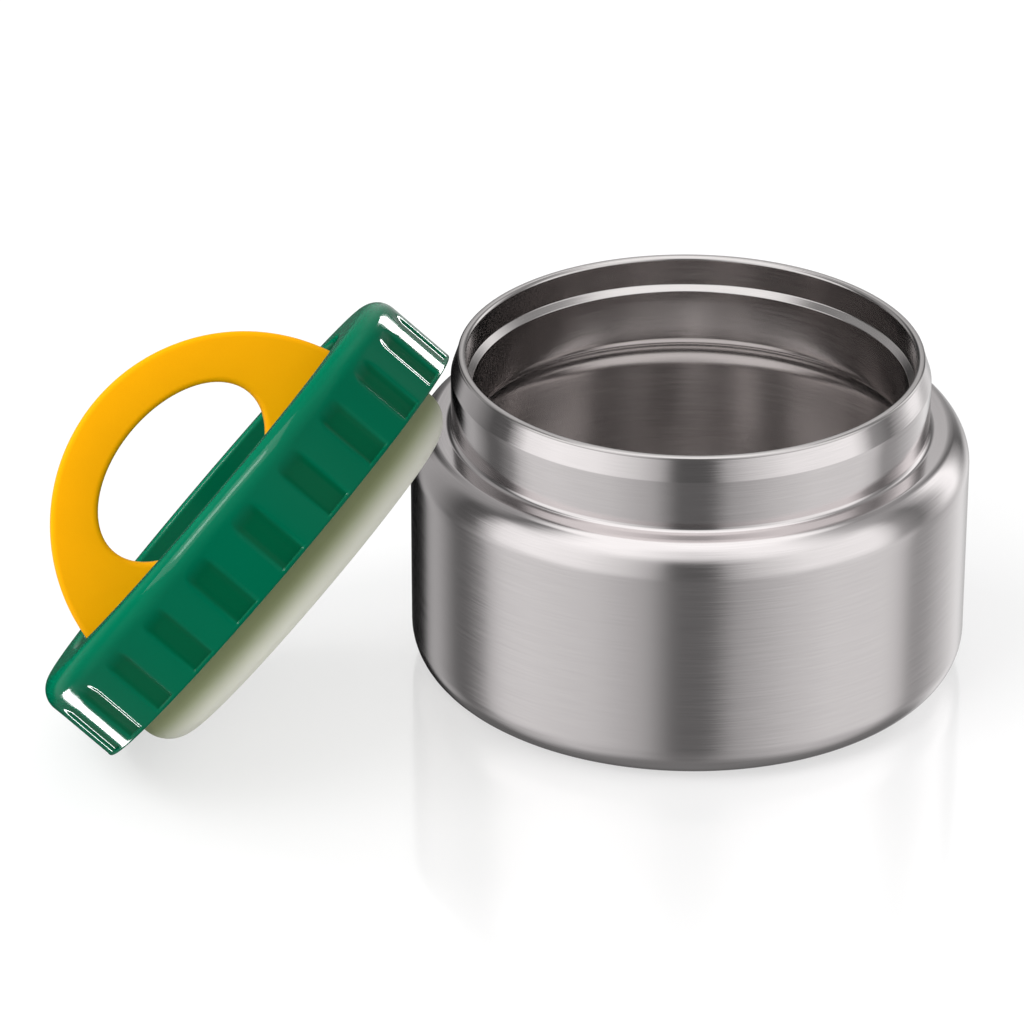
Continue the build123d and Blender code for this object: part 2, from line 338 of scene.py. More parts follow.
@dataclass(frozen=True)
class PlainMetal(Finish):
    """A small metal piece with a cloudy, cast or rolled surface."""

    cloud: float = 2.0  # mm
    patch: float = 0.2  # change of roughness from cloud to cloud

    def material(self) -> bpy.types.Material:
        """Builds the finish."""
        material, tree, shader = self.start()
        place = add_node(tree, "TexCoord").outputs["Object"]
        noise = {"Vector": place, "Scale": 1 / (self.cloud * MM), "Detail": 3.0}
        cloud = add_node(tree, "TexNoise", noise)
        finest, coarsest = self.roughness * (1 - self.patch), self.roughness * (1 + self.patch)
        rough = add_node(tree, "MapRange", {0: cloud, **NOISE_RANGE, 3: finest, 4: coarsest})
        tree.links.new(rough.outputs[0], shader.inputs["Roughness"])
        shader.inputs["Metallic"].default_value = 1.0
        return material


# ---------------------------------------------------------------- turned pieces


@dataclass(frozen=True)
class Corner:
    """A corner of a turned piece's outline, in millimetres.

    Attributes:
        radius: its distance from the axis.
        height: its height.
        rounding: the radius of the corner's fillet, if it has one.
    """

    radius: float
    height: float
    rounding: float = 0.0


def ease(share: float) -> float:
    """Clamps a share to 0 to 1 and eases it at both ends."""
    held = min(1.0, max(0.0, share))
    return held * held * (3 - 2 * held)


def round_corner(mesh: BMesh, corner: BMVert, rounding: float) -> None:
    """Rounds a corner of a wire outline.

    Args:
        mesh: the mesh that holds the outline.
        corner: the corner, between two edges.
        rounding: the fillet's radius in metres.
    """
    before, after = (edge.other_vert(corner).co - corner.co for edge in corner.link_edges)
    bend = math.pi - before.angle(after)
    bmesh.ops.bevel(
        mesh,
        geom=[corner],
        offset=rounding * math.tan(bend / 2),
        offset_type="OFFSET",
        affect="VERTICES",
        segments=max(2, math.ceil(bend / ARC_STEP)),
        profile=0.5,
        material=-1,
    )


def draw_outline(corners: Sequence[Corner], closed: bool, longest: float = LONGEST_EDGE) -> BMesh:
    """Draws an outline in the XZ plane.

    Args:
        corners: its corners in order.
        closed: whether the last joins the first.
        longest: the longest edge that is left undivided, in millimetres.

    Returns:
        A mesh that holds the outline as a wire.
    """
    mesh = bmesh.new()
    mesh.verts.layers.float.new(PAINTED_SHADE)
    verts = [mesh.verts.new((c.radius * MM, 0, c.height * MM)) for c in corners]
    ends = verts[1:] + verts[:1] if closed else verts[1:]
    for start, end in zip(verts, ends):
        mesh.edges.new((start, end))
    for vert, corner in zip(verts, corners):
        if corner.rounding:
            round_corner(mesh, vert, corner.rounding * MM)
    for edge in mesh.edges[:]:
        cuts = math.ceil(edge.calc_length() / (longest * MM)) - 1
        if cuts > 0:
            bmesh.ops.subdivide_edges(mesh, edges=[edge], cuts=cuts)
    return mesh


def close_up(mesh: BMesh) -> None:
    """Closes the seams and poles of a mesh and turns its faces outwards."""
    bmesh.ops.remove_doubles(mesh, verts=mesh.verts[:], dist=WELD)
    bmesh.ops.recalc_face_normals(mesh, faces=mesh.faces[:])


def turn(mesh: BMesh, steps: int = TURN_STEPS) -> None:
    """Spins the outline in a mesh once round Z."""
    bmesh.ops.spin(
        mesh,
        geom=mesh.verts[:] + mesh.edges[:],
        cent=(0, 0, 0),
        axis=(0, 0, 1),
        angle=math.tau,
        steps=steps,
        use_merge=True,
    )
    close_up(mesh)


def turned_solid(corners: Sequence[Corner], steps: int = TURN_STEPS) -> BMesh:
    """Makes a solid by turning a closed outline round Z."""
    mesh = draw_outline(corners, closed=True)
    turn(mesh, steps)
    return mesh


def spun_sheet(corners: Sequence[Corner], gauge: float) -> BMesh:
    """Makes a wall of sheet metal by turning its visible face round Z.

    Args:
        corners: the face's outline.
        gauge: the sheet's thickness in millimetres, behind that face.

    Returns:
        The wall, closed all round.
    """
    mesh = draw_outline(corners, closed=False)
    turn(mesh)
    bmesh.ops.solidify(mesh, geom=mesh.faces[:], thickness=gauge * MM)
    if mesh.calc_volume(signed=True) < 0:
        bmesh.ops.reverse_faces(mesh, faces=mesh.faces[:])
    return mesh


def round_edges(mesh: BMesh, edges: Iterable[BMEdge], rounding: float, segments: int) -> None:
    """Rounds edges of a solid.

    Args:
        mesh: the solid.
        edges: the edges.
        rounding: the fillet's radius in millimetres.
        segments: the fillet's facets.
    """
    bmesh.ops.bevel(
        mesh,
        geom=list(edges),
        offset=rounding * MM,
        offset_type="OFFSET",
        affect="EDGES",
        segments=segments,
        profile=0.5,
        material=-1,
        clamp_overlap=True,
    )


def finish_piece(
    mesh: BMesh,
    name: str,
    material: bpy.types.Material,
    body: Body,
    stands_for: Iterable[str],
) -> bpy.types.Object:
    """Makes a mesh into a piece of the object.

    Args:
        mesh: the shape, in place, which this call uses up.
        name: the piece's name.
        material: its finish.
        body: what it moves with.
        stands_for: the CAD nodes that it is shown for.

    Returns:
        The piece.
    """
    for face in mesh.faces:
        face.smooth = True
    for edge in mesh.edges:
        edge.smooth = len(edge.link_faces) == 2 and edge.calc_face_angle(0) < CREASE
    piece = add_mesh(name, mesh)
    piece.data.materials.append(material)
    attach(piece, body.value)
    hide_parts(*stands_for)
    piece.visible_glossy = body is Body.JAR
    log.info("%s: %d faces on %s", name, len(piece.data.polygons), body.value)
    return piece


def dress_nodes(material: bpy.types.Material, *nodes: str) -> None:
    """Gives CAD nodes a finish.

    Args:
        material: the finish.
        nodes: the nodes' names.
    """
    for name in nodes:
        node = frame["nodes"][name]
        node.visible_glossy = False
        node.data.materials.clear()
        node.data.materials.append(material)
        log.info("%s: finished in %s", name, material.name)


# ---------------------------------------------------------------- jar


@dataclass
class Jar:
    """The double-walled steel jar. Sizes are in millimetres."""

    body_radius: float = 55.0
    rim_height: float = 66.0
    gauge: float = 0.6
    bottom_rounding: float = 8.0
    foot_radius: float = 46.0
    shoulder_height: float = 48.0
    shoulder_rounding: float = 8.0
    collar_height: float = 51.0
    collar_radius: float = 51.1
    collar_rounding: float = 2.5
    neck_radius: float = 47.0
    neck_root_rounding: float = 1.0
    taper_height: float = 3.9
    taper_rounding: float = 1.0
    rim_radius: float = 45.7
    bore_radius: float = 44.0
    lip_rounding: float = 0.8
    lip_edge_rounding: float = 0.4
    ledge_height: float = 60.0
    ledge_drop: float = 1.0
    ledge_rounding: float = 0.3
    throat_radius: float = 42.7
    throat_length: float = 12.0
    throat_rounding: float = 3.0
    belly_radius: float = 50.0
    belly_drop: float = 3.2
    belly_rounding: float = 8.0
    floor_height: float = 7.0
    floor_rounding: float = 9.0
    ring_width: float = 4.0
    recess_slope: float = 1.0
    recess_rise: float = 2.0
    press_rounding: float = 0.5
    dimple_radius: float = 6.0
    dimple_rise: float = 1.2
    vent_radius: float = 0.9
    cover_radius: float = 39.5
    cover_thickness: float = 0.5
    outside: BrushedSteel = field(
        default_factory=lambda: BrushedSteel("brushed_stainless_steel", "#DDD8D8", 0.19, polish=0.7)
    )
    inside: BrushedSteel = field(
        default_factory=lambda: BrushedSteel(
            "satin_stainless_steel", "#CFCBCA", 0.17, streak=0.03, wander=0.006, stretch=0.3
        )
    )

    def outer_wall(self) -> BMesh:
        """Builds the wall from under the lip down to the inturned foot."""
        lip_underside = self.rim_height - self.gauge
        face = [
            Corner(self.rim_radius, lip_underside),
            Corner(self.neck_radius, lip_underside - self.taper_height, self.taper_rounding),
            Corner(self.neck_radius, self.collar_height, self.neck_root_rounding),
            Corner(self.collar_radius, self.collar_height, self.collar_rounding),
            Corner(self.body_radius, self.shoulder_height, self.shoulder_rounding),
            Corner(self.body_radius, 0, self.bottom_rounding),
            Corner(self.foot_radius, 0),
        ]
        return spun_sheet(face, self.gauge)

    def food_vessel(self) -> BMesh:
        """Builds the vessel, from the lip's outer edge to the middle of the floor."""
        throat_top = self.ledge_height - self.ledge_drop
        belly_top = throat_top - self.throat_length - self.belly_drop
        face = [
            Corner(self.rim_radius, self.rim_height),
            Corner(self.bore_radius, self.rim_height, self.lip_rounding),
            Corner(self.bore_radius, self.ledge_height, self.ledge_rounding),
            Corner(self.throat_radius, throat_top, self.ledge_rounding),
            Corner(self.throat_radius, belly_top + self.belly_drop, self.throat_rounding),
            Corner(self.belly_radius, belly_top, self.belly_rounding),
            Corner(self.belly_radius, self.floor_height, self.floor_rounding),
            Corner(0, self.floor_height),
        ]
        mesh = spun_sheet(face, self.gauge)
        outer = self.rim_radius * MM - WELD
        top = self.rim_height * MM - WELD
        rim = [
            edge
            for edge in mesh.edges
            if all(vert.co.xy.length > outer and vert.co.z > top for vert in edge.verts)
        ]
        round_edges(mesh, rim, self.lip_edge_rounding, segments=4)
        return mesh

    def base_disc(self) -> BMesh:
        """Builds the pressed disc, with the ring that the jar stands on and the vent's dimple."""
        ring_in = self.foot_radius - self.ring_width
        vent_height = self.recess_rise + self.dimple_rise
        return spun_sheet(
            [
                Corner(self.foot_radius, 0),
                Corner(ring_in, 0, self.press_rounding),
                Corner(ring_in - self.recess_slope, self.recess_rise, self.press_rounding),
                Corner(self.dimple_radius, self.recess_rise, self.press_rounding),
                Corner(self.dimple_radius - self.dimple_rise, vent_height, self.press_rounding),
                Corner(self.vent_radius, vent_height),
            ],
            self.gauge,
        )

    def cover_disc(self) -> BMesh:
        """Builds the thin disc in the base's recess."""
        under = self.recess_rise - self.cover_thickness
        return turned_solid(
            [
                Corner(0, under),
                Corner(self.cover_radius, under, self.cover_thickness / 2),
                Corner(self.cover_radius, self.recess_rise),
                Corner(0, self.recess_rise),
            ]
        )

    def build(self) -> None:
        """Builds and dresses the jar's pieces."""
        outside = self.outside.material()
        inside = self.inside.material()
        for mesh, name, material, node, slot in (
            (self.outer_wall(), "outer_wall", outside, "outer_shell", "brushed_steel"),
            (self.food_vessel(), "food_vessel", inside, "inner_vessel", "vessel_steel"),
            (self.base_disc(), "base_disc", outside, "shell_base", "brushed_steel"),
            (self.cover_disc(), "cover_disc", outside, "base_cover", "brushed_steel"),
        ):
            finish_piece(mesh, name, material, Body.JAR, [node])
        dress_nodes(PlainMetal("soldered_tin", "#C9CACD", 0.25).material(), "seal_bead")
        dress_nodes(PlainMetal("sintered_zirconium", "#5A5A5C", 0.6).material(), "getter")
        dress_nodes(PlainMetal("rolled_foil", "#E2E2E4", 0.2).material(), "radiation_foil")


# ---------------------------------------------------------------- lid


@dataclass
class Lid:
    """The cap with its stopper, gasket and handle. Sizes are in millimetres, in the lid's own
    upright frame: its origin is the centre of the skirt's lower edge, +Z runs out of its top and
    the handle's pivot lies along X."""

    heading: float = math.radians(163.8)  # where its top faces, round from +X
    lean: float = math.radians(37.8)  # rise of its axis above the table
    cap_radius: float = 50.2
    cap_height: float = 18.8
    cap_rounding: float = 4.6
    skirt_rounding: float = 0.4
    skirt_bore: float = 47.6
    inner_rounding: float = 1.0  # of the corners inside the cap
    plate: float = 2.6
    flute_count: int = 24
    flute_half_width: float = 3.7
    flute_side: float = 2.2  # width of its slanted side
    flute_depth: float = 0.6
    flute_top: float = 14.2
    flute_run_out: float = 3.0  # length of the slope at its top
    flute_corner: float = 2.5
    flute_bottom: float = 0.6
    flute_step: float = 0.3  # height of the step at its lower end
    flute_skin: float = 0.1  # points this near to the cap's radius follow the flutes
    side_columns: int = 8  # of points, over its slanted side
    floor_column: float = 0.8  # from its middle to the next column
    end_row: float = 0.35  # between the rows of points, over its upper end
    end_rows: int = 11
    step_rows: int = 3
    section_step: float = 6.0  # longest edge of the cap's section
    painted_shade_half_width: float = 2.7  # of the flute's floor, painted a darker green for shade
    painted_shade_side: float = 0.8  # over which the painted shade fades at its sides
    recess_radius: float = 39.0
    recess_floor: float = 11.358
    recess_edge_rounding: float = 1.0
    recess_floor_rounding: float = 1.5
    tub_radius: float = 40.8
    tub_underside: float = 9.558
    boss_radius: float = 2.6
    boss_face: float = 37.4
    boss_end: float = 39.5
    stopper_radius: float = 42.2
    stopper_wall: float = 1.2
    stopper_floor: float = 1.5
    stopper_drop: float = 8.6
    stopper_rounding: float = 6.5
    bead_radius: float = 43.4
    bead_height: float = 1.2
    small_rounding: float = 0.3
    painted_shade_low: float = 8.0  # below the skirt, where the painted shade and green bounce stop
    painted_shade_fade: float = 6.0
    gasket_radius: float = 43.85
    gasket_bottom: float = 8.5
    gasket_top: float = 10.4
    gasket_lip: float = 0.5
    pivot_height: float = 15.15
    handle_thickness: float = 5.5
    handle_rounding: float = 1.2
    arc_radius: float = 37.16
    arc_drop: float = 6.2
    grip_half_width: float = 20.0
    grip_half_height: float = 12.4
    grip_rise: float = 9.55
    foot_gap: float = 28.2
    toe_rounding: float = 2.5
    pin_radius: float = 1.2
    pin_hole_depth: float = 3.9
    pin_clearance: float = 0.05
    small_steps: int = 36  # facets round a boss or a pin hole
    arch_steps: int = 96  # along the handle's arch
    toe_steps: int = 8  # round each inner corner of its feet
    green: MouldedPlastic = field(
        default_factory=lambda: MouldedPlastic(
            "glossy_green_polypropylene",
            "#005C41",
            0.1,
            gloss=0.045,
            ripple_depth=0.001,
            # painted shade: the flutes' floors get this darker green
            painted_shade_colour="#004E32",
        )
    )
    milky: MouldedPlastic = field(
        default_factory=lambda: MouldedPlastic(
            "milky_polypropylene",
            "#D0D0C4",
            0.42,
            gloss=0.15,
            mottle=0.02,
            shine_through=0.3,
            # painted shade and green bounce light, blended in next to the cap's skirt
            painted_shade_colour="#868D66",
        )
    )
    yellow: MouldedPlastic = field(
        default_factory=lambda: MouldedPlastic("yellow_polypropylene", "#FFAF00", 0.4, gloss=0.06)
    )

    def seat(self) -> Matrix:
        """Gives the turn and shift from the lid's own frame to where it leans."""
        hinge = next(joint for joint in frame["joints"] if joint["name"] == "handle_hinge")
        across = Vector(hinge["axis"]).normalized()
        level = Vector((math.cos(self.heading), math.sin(self.heading), 0))
        out = level * math.cos(self.lean) + Vector((0, 0, math.sin(self.lean)))
        centre = Vector(hinge["pos_m"]) - out * self.pivot_height * MM
        turn_part = Matrix((across, out.cross(across), out)).transposed()
        return Matrix.Translation(centre) @ turn_part.to_4x4()

    def flute_share(self, arc: float, height: float) -> float:
        """Says how deep a flute is at a point of the skirt.

        Args:
            arc: distance round the skirt from the flute's middle, in millimetres.
            height: height in the lid's frame, in millimetres.

        Returns:
            The share of the full depth, from 0 to 1.
        """
        squash = self.flute_side / self.flute_run_out
        beside = abs(arc) - self.flute_half_width
        above = (height - self.flute_top) * squash
        in_x = beside + self.flute_corner
        in_z = above + self.flute_corner
        past = math.hypot(in_x, in_z) - self.flute_corner if min(in_x, in_z) > 0 else max(beside, above)
        up = ease((height - self.flute_bottom) / self.flute_step)
        return ease(-past / self.flute_side) * up

    def painted_flute_shade(self, arc: float, height: float) -> float:
        """Says how much darker shade is painted into a flute at a point of the skirt.

        Args:
            arc: distance round the skirt from the flute's middle, in millimetres.
            height: height in the lid's frame, in millimetres.

        Returns:
            The share of the painted shade's darker green, from 0 to 1.
        """
        beside = ease((self.painted_shade_half_width - abs(arc)) / self.painted_shade_side + 0.5)
        top = ease((self.flute_top - height) / self.flute_run_out)
        return beside * top * ease((height - self.flute_bottom) / self.flute_step)

    def pitch_columns(self) -> list[float]:
        """Lists the places round one pitch where the cap gets a column of points.

        Returns:
            Distances from the flute's middle in millimetres, from one rib's middle to the next.
        """
        half = self.flute_half_width
        half_pitch = math.pi * self.cap_radius / self.flute_count
        count = self.side_columns
        slope = [half - self.flute_side * step / count for step in range(count, -1, -1)]
        right = [self.floor_column, *slope, (half + half_pitch) / 2, half_pitch]
        return [-place for place in reversed(right)] + [0.0] + right

    def cap_outline(self) -> BMesh:
        """Draws the cap's section, with the tub that the handle folds into."""
        under = self.cap_height - self.plate
        shoulder = self.cap_height - self.cap_rounding
        corner_height = self.flute_corner * self.flute_run_out / self.flute_side
        first_row = self.flute_top - corner_height
        rows = [first_row + self.end_row * step for step in range(self.end_rows)]
        count = self.step_rows
        low_rows = [self.flute_bottom + self.flute_step * step / count for step in range(count + 1)]
        wall = [height for height in reversed(low_rows + rows) if height < shoulder]
        corners = [
            Corner(0, self.recess_floor),
            Corner(self.recess_radius, self.recess_floor, self.recess_floor_rounding),
            Corner(self.recess_radius, self.cap_height, self.recess_edge_rounding),
            Corner(self.cap_radius, self.cap_height, self.cap_rounding),
            *(Corner(self.cap_radius, height) for height in wall),
            Corner(self.cap_radius, 0, self.skirt_rounding),
            Corner(self.skirt_bore, 0, self.skirt_rounding),
            Corner(self.skirt_bore, under, self.inner_rounding),
            Corner(self.tub_radius, under),
            Corner(self.tub_radius, self.tub_underside, self.inner_rounding),
            Corner(0, self.tub_underside),
        ]
        return draw_outline(corners, closed=True, longest=self.section_step)

    def cap(self) -> BMesh:
        """Builds the cap from one rib and flute, repeated round the axis."""
        mesh = self.cap_outline()
        columns = self.pitch_columns()
        first_turn = Matrix.Rotation(columns[0] / self.cap_radius, 3, "Z")
        bmesh.ops.rotate(mesh, verts=mesh.verts[:], matrix=first_turn)
        column_of = {vert: columns[0] for vert in mesh.verts}
        edges: list[BMEdge] = mesh.edges[:]
        for last, place in zip(columns, columns[1:]):
            grown = bmesh.ops.extrude_edge_only(mesh, edges=edges)["geom"]
            verts = [item for item in grown if isinstance(item, BMVert)]
            new_verts = set(verts)
            edges = [
                item for item in grown if isinstance(item, BMEdge) and new_verts.issuperset(item.verts)
            ]
            step = Matrix.Rotation((place - last) / self.cap_radius, 3, "Z")
            bmesh.ops.rotate(mesh, verts=verts, matrix=step)
            column_of.update({vert: place for vert in verts})
        painted_shade = mesh.verts.layers.float[PAINTED_SHADE]
        wall = (self.cap_radius - self.flute_skin) * MM
        for vert, place in column_of.items():
            radius = vert.co.xy.length
            if radius > wall:
                height = vert.co.z / MM
                # painted shade: how much darker green the flute's floor gets here
                vert[painted_shade] = self.painted_flute_shade(place, height)
                vert.co.xy *= 1 - self.flute_share(place, height) * self.flute_depth * MM / radius
        pitch = math.tau / self.flute_count
        bmesh.ops.spin(
            mesh,
            geom=mesh.verts[:] + mesh.edges[:] + mesh.faces[:],
            cent=(0, 0, 0),
            axis=(0, 0, 1),
            angle=math.tau - pitch,
            steps=self.flute_count - 1,
            use_duplicate=True,
        )
        close_up(mesh)
        self.add_bosses(mesh)
        return mesh

    def add_bosses(self, mesh: BMesh) -> None:
        """Adds to the cap the two bosses that hold the handle's pins."""
        boss = turned_solid(
            [
                Corner(self.pin_radius, self.boss_face),
                Corner(self.boss_radius, self.boss_face, self.small_rounding),
                Corner(self.boss_radius, self.boss_end),
                Corner(self.pin_radius, self.boss_end),
            ],
            steps=self.small_steps,
        )
        data = bpy.data.meshes.new("boss")
        for side in (-1, 1):
            place = Matrix.Translation((0, 0, self.pivot_height * MM))
            place = place @ Matrix.Rotation(side * math.pi / 2, 4, "Y")
            copy = boss.copy()
            bmesh.ops.transform(copy, matrix=place, verts=copy.verts[:])
            copy.to_mesh(data)
            copy.free()
            mesh.from_mesh(data)
        boss.free()
        bpy.data.meshes.remove(data)

    def stopper(self) -> BMesh:
        """Builds the cup under the cap, with shade and the cap's green bounce light painted in next to
        the skirt.
        """
        inner = self.stopper_radius - self.stopper_wall
        top = self.cap_height - self.plate
        bead_top = self.gasket_top + self.bead_height
        inner_floor = self.stopper_floor - self.stopper_drop
        inner_rounding = self.stopper_rounding - self.stopper_wall
        mesh = turned_solid(
            [
                Corner(0, -self.stopper_drop),
                Corner(self.stopper_radius, -self.stopper_drop, self.stopper_rounding),
                Corner(self.stopper_radius, 0),
                Corner(self.stopper_radius, self.gasket_top),
                Corner(self.bead_radius, self.gasket_top, self.small_rounding),
                Corner(self.bead_radius, bead_top, self.small_rounding),
                Corner(self.stopper_radius, bead_top),
                Corner(self.stopper_radius, top),
                Corner(inner, top),
                Corner(inner, inner_floor, inner_rounding),
                Corner(0, inner_floor),
            ]
        )
        painted_shade = mesh.verts.layers.float[PAINTED_SHADE]
        for vert in mesh.verts:
            # painted shade and green bounce light, strongest next to the skirt
            vert[painted_shade] = ease((vert.co.z / MM + self.painted_shade_low) / self.painted_shade_fade)
        return mesh

    def gasket(self) -> BMesh:
        """Builds the silicone ring."""
        shy = self.gasket_radius - self.gasket_lip
        return turned_solid(
            [
                Corner(self.stopper_radius, self.gasket_bottom),
                Corner(shy, self.gasket_bottom, self.small_rounding),
                Corner(self.gasket_radius, self.gasket_bottom + self.gasket_lip, self.small_rounding),
                Corner(shy, self.gasket_top, self.small_rounding),
                Corner(self.stopper_radius, self.gasket_top),
            ]
        )

    def arc_wire(self, mesh: BMesh, points: Sequence[tuple[float, float]]) -> list[BMEdge]:
        """Adds a wire at the back of the handle.

        Args:
            mesh: the mesh to add it to.
            points: across and up, in millimetres.

        Returns:
            The wire's edges.
        """
        back = self.handle_thickness / 2 * MM
        verts = [mesh.verts.new((across * MM, back, up * MM)) for across, up in points]
        return [mesh.edges.new(pair) for pair in zip(verts, verts[1:])]

    def oval(self, start: float, count: int) -> list[tuple[float, float]]:
        """Lists points of the grip's oval from one foot to the other.

        Args:
            start: the angle at which it starts, round from the handle's right.
            count: the number of steps.

        Returns:
            Across and up, in millimetres.
        """
        sweep = math.pi - 2 * start
        middle = self.pivot_height + self.grip_rise
        angles = [start + sweep * step / count for step in range(count + 1)]
        return [
            (self.grip_half_width * math.cos(angle), middle + self.grip_half_height * math.sin(angle))
            for angle in angles
        ]

    def toe(self, corner: tuple[float, float], side: int) -> list[tuple[float, float]]:
        """Lists points of the arc that rounds a foot's inner corner, from the foot upwards.

        Args:
            corner: the corner, on the right-hand foot.
            side: 1 for the right-hand foot, or -1 for the left-hand one.

        Returns:
            Across and up, in millimetres.
        """
        slope = math.atan2(
            self.grip_half_height * self.foot_gap / 2 / self.grip_half_width,
            math.sqrt(self.grip_half_width**2 - (self.foot_gap / 2) ** 2)
            * self.grip_half_width / self.grip_half_height,
        )
        turn_angle = math.pi / 2 - slope
        reach = self.toe_rounding * math.tan(turn_angle / 2)
        centre = (corner[0] + self.toe_rounding, corner[1] - reach)
        steps = self.toe_steps
        angles = [math.pi - turn_angle * step / steps for step in range(steps + 1)]
        return [
            (
                side * (centre[0] + self.toe_rounding * math.cos(angle)),
                centre[1] + self.toe_rounding * math.sin(angle),
            )
            for angle in angles
        ]

    def handle(self) -> BMesh:
        """Builds the handle upright, as a flat arch with rounded edges and two pin holes."""
        foot = self.pivot_height - self.handle_thickness / 2
        centre = self.pivot_height - self.arc_drop
        start = math.asin((foot - centre) / self.arc_radius)
        steps = self.arch_steps
        mesh = bmesh.new()
        angles = [start + (math.pi - 2 * start) * step / steps for step in range(steps + 1)]
        rim = [
            (self.arc_radius * math.cos(angle), centre + self.arc_radius * math.sin(angle))
            for angle in angles
        ]
        gap = self.foot_gap / 2
        corner_angle = -math.acos(gap / self.grip_half_width)
        corner = self.oval(corner_angle, 1)[0]
        past_toe = self.toe_rounding / self.grip_half_width
        right = self.toe(corner, 1)
        left = self.toe(corner, -1)
        # As many points as on the rim, so that each is bridged to one of the rim's.
        grip = self.oval(corner_angle + past_toe, steps - 2 * (self.toe_steps + 2))
        inner = [(gap, foot), *right, *grip, *reversed(left), (-gap, foot)]
        bmesh.ops.bridge_loops(mesh, edges=self.arc_wire(mesh, rim) + self.arc_wire(mesh, inner))
        grown = bmesh.ops.extrude_face_region(mesh, geom=mesh.faces[:])["geom"]
        front = [item for item in grown if isinstance(item, BMVert)]
        bmesh.ops.translate(mesh, verts=front, vec=(0, -self.handle_thickness * MM, 0))
        bmesh.ops.recalc_face_normals(mesh, faces=mesh.faces[:])
        sharp = [edge for edge in mesh.edges if edge.calc_face_angle(0) > SHARP]
        rims = [edge for edge in sharp if abs(edge.verts[0].co.y - edge.verts[1].co.y) < WELD]
        round_edges(mesh, rims, self.handle_rounding, segments=5)
        return self.drilled(mesh)

    def drilled(self, mesh: BMesh) -> BMesh:
        """Drills the pin holes into the handle's feet.

        Args:
            mesh: the handle, which this call uses up.

        Returns:
            The drilled handle.
        """
        drill = bmesh.new()
        radius = (self.pin_radius + self.pin_clearance) * MM
        for side in (-1, 1):
            place = Matrix.Translation((side * self.boss_face * MM, 0, self.pivot_height * MM))
            bmesh.ops.create_cone(
                drill,
                cap_ends=True,
                segments=self.small_steps,
                radius1=radius,
                radius2=radius,
                depth=2 * self.pin_hole_depth * MM,
                matrix=place @ Matrix.Rotation(math.pi / 2, 4, "Y"),
            )
        blank, cutter = add_mesh("blank", mesh), add_mesh("drill", drill)
        cut = blank.modifiers.new("holes", "BOOLEAN")
        cut.operation = "DIFFERENCE"
        cut.solver = "EXACT"
        cut.object = cutter
        seen = blank.evaluated_get(bpy.context.evaluated_depsgraph_get())
        result = bmesh.new()
        result.from_mesh(seen.to_mesh())
        for piece in (blank, cutter):
            data = piece.data
            bpy.data.objects.remove(piece)
            bpy.data.meshes.remove(data)
        return result

    def build(self) -> None:
        """Builds and dresses the lid's pieces where they lean."""
        place = self.seat()
        green = self.green.material()
        milky = self.milky.material()
        yellow = self.yellow.material()
        silicone = MouldedPlastic("clear_silicone", "#D5D5CC", 0.5, mottle=0.02).material()
        foam = MouldedPlastic("bead_foam", "#ECEBE4", 0.9, ripple=2.5, ripple_depth=0.3).material()
        steel = PlainMetal("drawn_pin_steel", "#C8C8C8", 0.25, cloud=0.5).material()
        for mesh, name, material, body, node, slot in (
            (self.cap(), "fluted_cap", green, Body.LID, "cap", "green_plastic"),
            (self.stopper(), "stopper_cup", milky, Body.LID, "stopper", "milky_plastic"),
            (self.gasket(), "seal_ring", silicone, Body.LID, "stopper_gasket", "silicone"),
            (self.handle(), "arched_handle", yellow, Body.HANDLE, "handle", "yellow_plastic"),
        ):
            bmesh.ops.transform(mesh, matrix=place, verts=mesh.verts[:])
            finish_piece(mesh, name, material, body, [node])
        dress_nodes(foam, "stopper_foam")
        dress_nodes(steel, "pivot_pin_left", "pivot_pin_right")


# ---------------------------------------------------------------- studio


@dataclass(frozen=True)
class Strip:
    """A strip lamp for the cap alone, which stands where the cap mirrors it to the camera.

    Attributes:
        name: the lamp's name.
        turn: where on the cap it shows, in degrees round from where the cap faces the camera.
        tilt: how far the cap's surface leans towards its top there, in degrees.
        width: how wide it looks from the cap, in degrees round it.
        length: how long it looks from the cap, in degrees along its axis.
        glow: its brightness, where 1 is white.
    """

    name: str
    turn: float
    tilt: float
    width: float
    length: float
    glow: float


